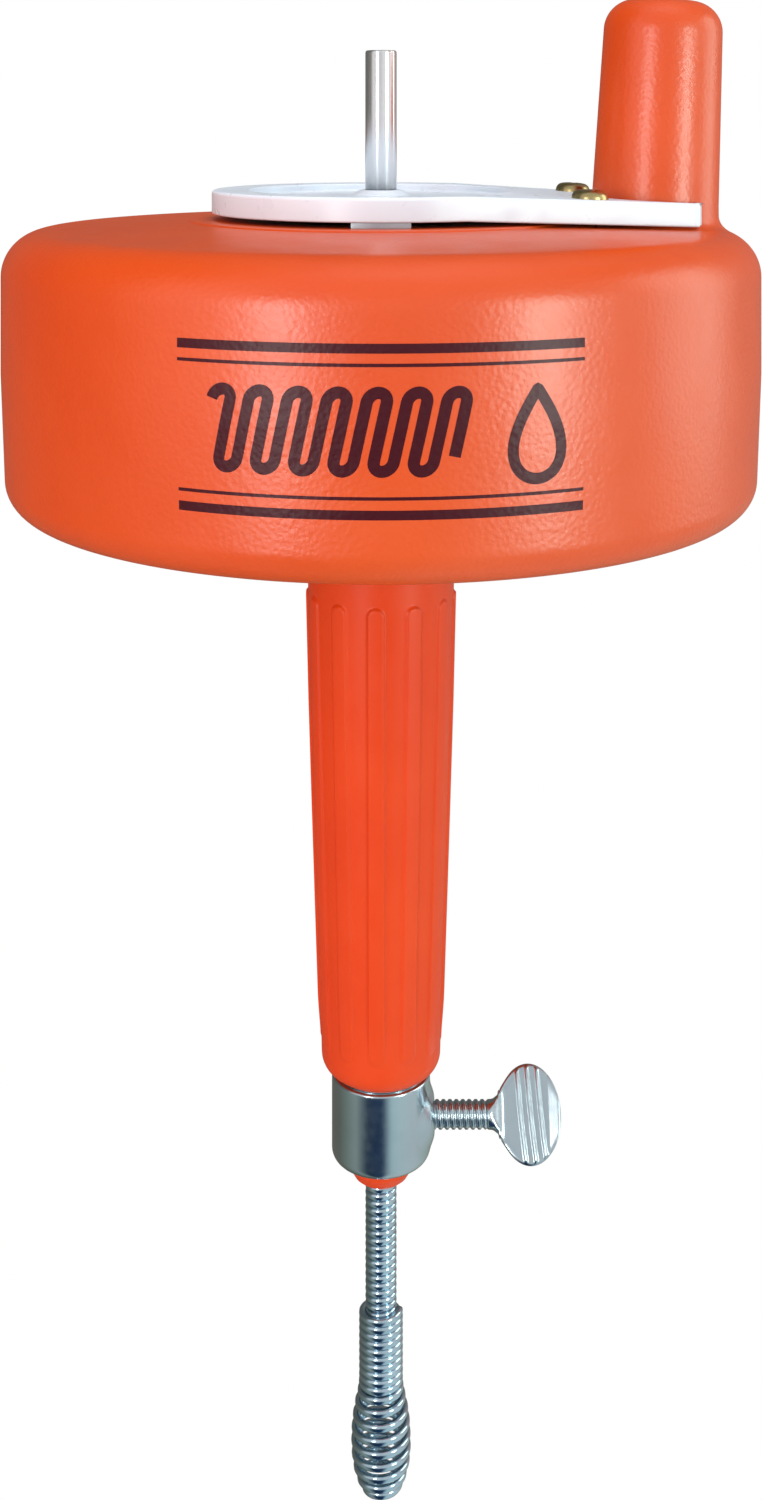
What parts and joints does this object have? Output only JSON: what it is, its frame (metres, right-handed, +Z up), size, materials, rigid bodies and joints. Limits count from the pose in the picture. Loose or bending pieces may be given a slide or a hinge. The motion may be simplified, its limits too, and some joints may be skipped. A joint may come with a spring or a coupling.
{
  "type": "drain auger",
  "caption": "Hand and drill driven drain auger: a closed drum with a crank knob and drive pin stores a spiral cable fed through a ribbed grip and a clamping collar.",
  "frame": {"origin": "on the main axis, where the drive pin leaves the top face of the white plate", "axes": "+Z up along the main axis toward the free end of the drive pin; +X toward the crank knob and the thumbscrew; -Y is the front"},
  "size_m": [0.19, 0.19, 0.3797],
  "materials": {
    "orange_shell": "fine leather grain, satin",
    "orange_grip": "satin",
    "white_plastic": "smooth",
    "bright_steel": "ground bright",
    "zinc_steel": "bluish zinc plate",
    "yellow_zinc": "yellow zinc plate",
    "spring_wire": "zinc plated spring wire",
    "bearing_plastic": "natural acetal",
    "brass": "turned"
  },
  "bodies": {
    "grip": {"grip_sleeve": "orange_grip", "upper_bush": "bearing_plastic", "lower_bush": "bearing_plastic"},
    "rotor": {"drum_shell": "orange_shell", "neck_tube": "orange_grip", "drive_plate": "white_plastic", "plate_screws": "yellow_zinc", "plate_nuts": "zinc_steel", "drive_pin": "bright_steel", "drive_strap": "zinc_steel", "strap_screws": "zinc_steel", "pin_washer": "zinc_steel", "pin_lock_nut": "zinc_steel", "upper_thrust_washer": "zinc_steel", "lower_thrust_washer": "zinc_steel", "neck_washer": "zinc_steel", "neck_lock_nut": "zinc_steel", "cable_guide": "bearing_plastic", "collar": "zinc_steel", "cable_store": "spring_wire", "cable_clip": "zinc_steel", "clip_screw": "zinc_steel"},
    "shoe": {"clamp_shoe": "brass"},
    "screw": {"thumbscrew": "zinc_steel"},
    "cable": {"cable_feed": "spring_wire", "bulb_head": "spring_wire"}
  },
  "joints": [
    {"name": "drum_spin", "type": "hinge", "parent": "grip", "child": "rotor", "pos_m": [0, 0, -0.15], "axis": [0, 0, 1], "continuous": true},
    {"name": "cable_slide", "type": "slide", "parent": "rotor", "child": "cable", "axis": [0, 0, -1], "range_m": [-0.032, 0.15]},
    {"name": "clamp_travel", "type": "slide", "parent": "rotor", "child": "shoe", "axis": [1, 0, 0], "range_m": [-0.00027, 0.0033]},
    {"name": "thumbscrew_turn", "type": "hinge", "parent": "shoe", "child": "screw", "pos_m": [0, 0, -0.236], "axis": [1, 0, 0], "range_deg": [-60, 720]}
  ],
  "couplings": [
    {"joint": "thumbscrew_turn", "follows": "clamp_travel", "rad_per_m": 3808}
  ]
}
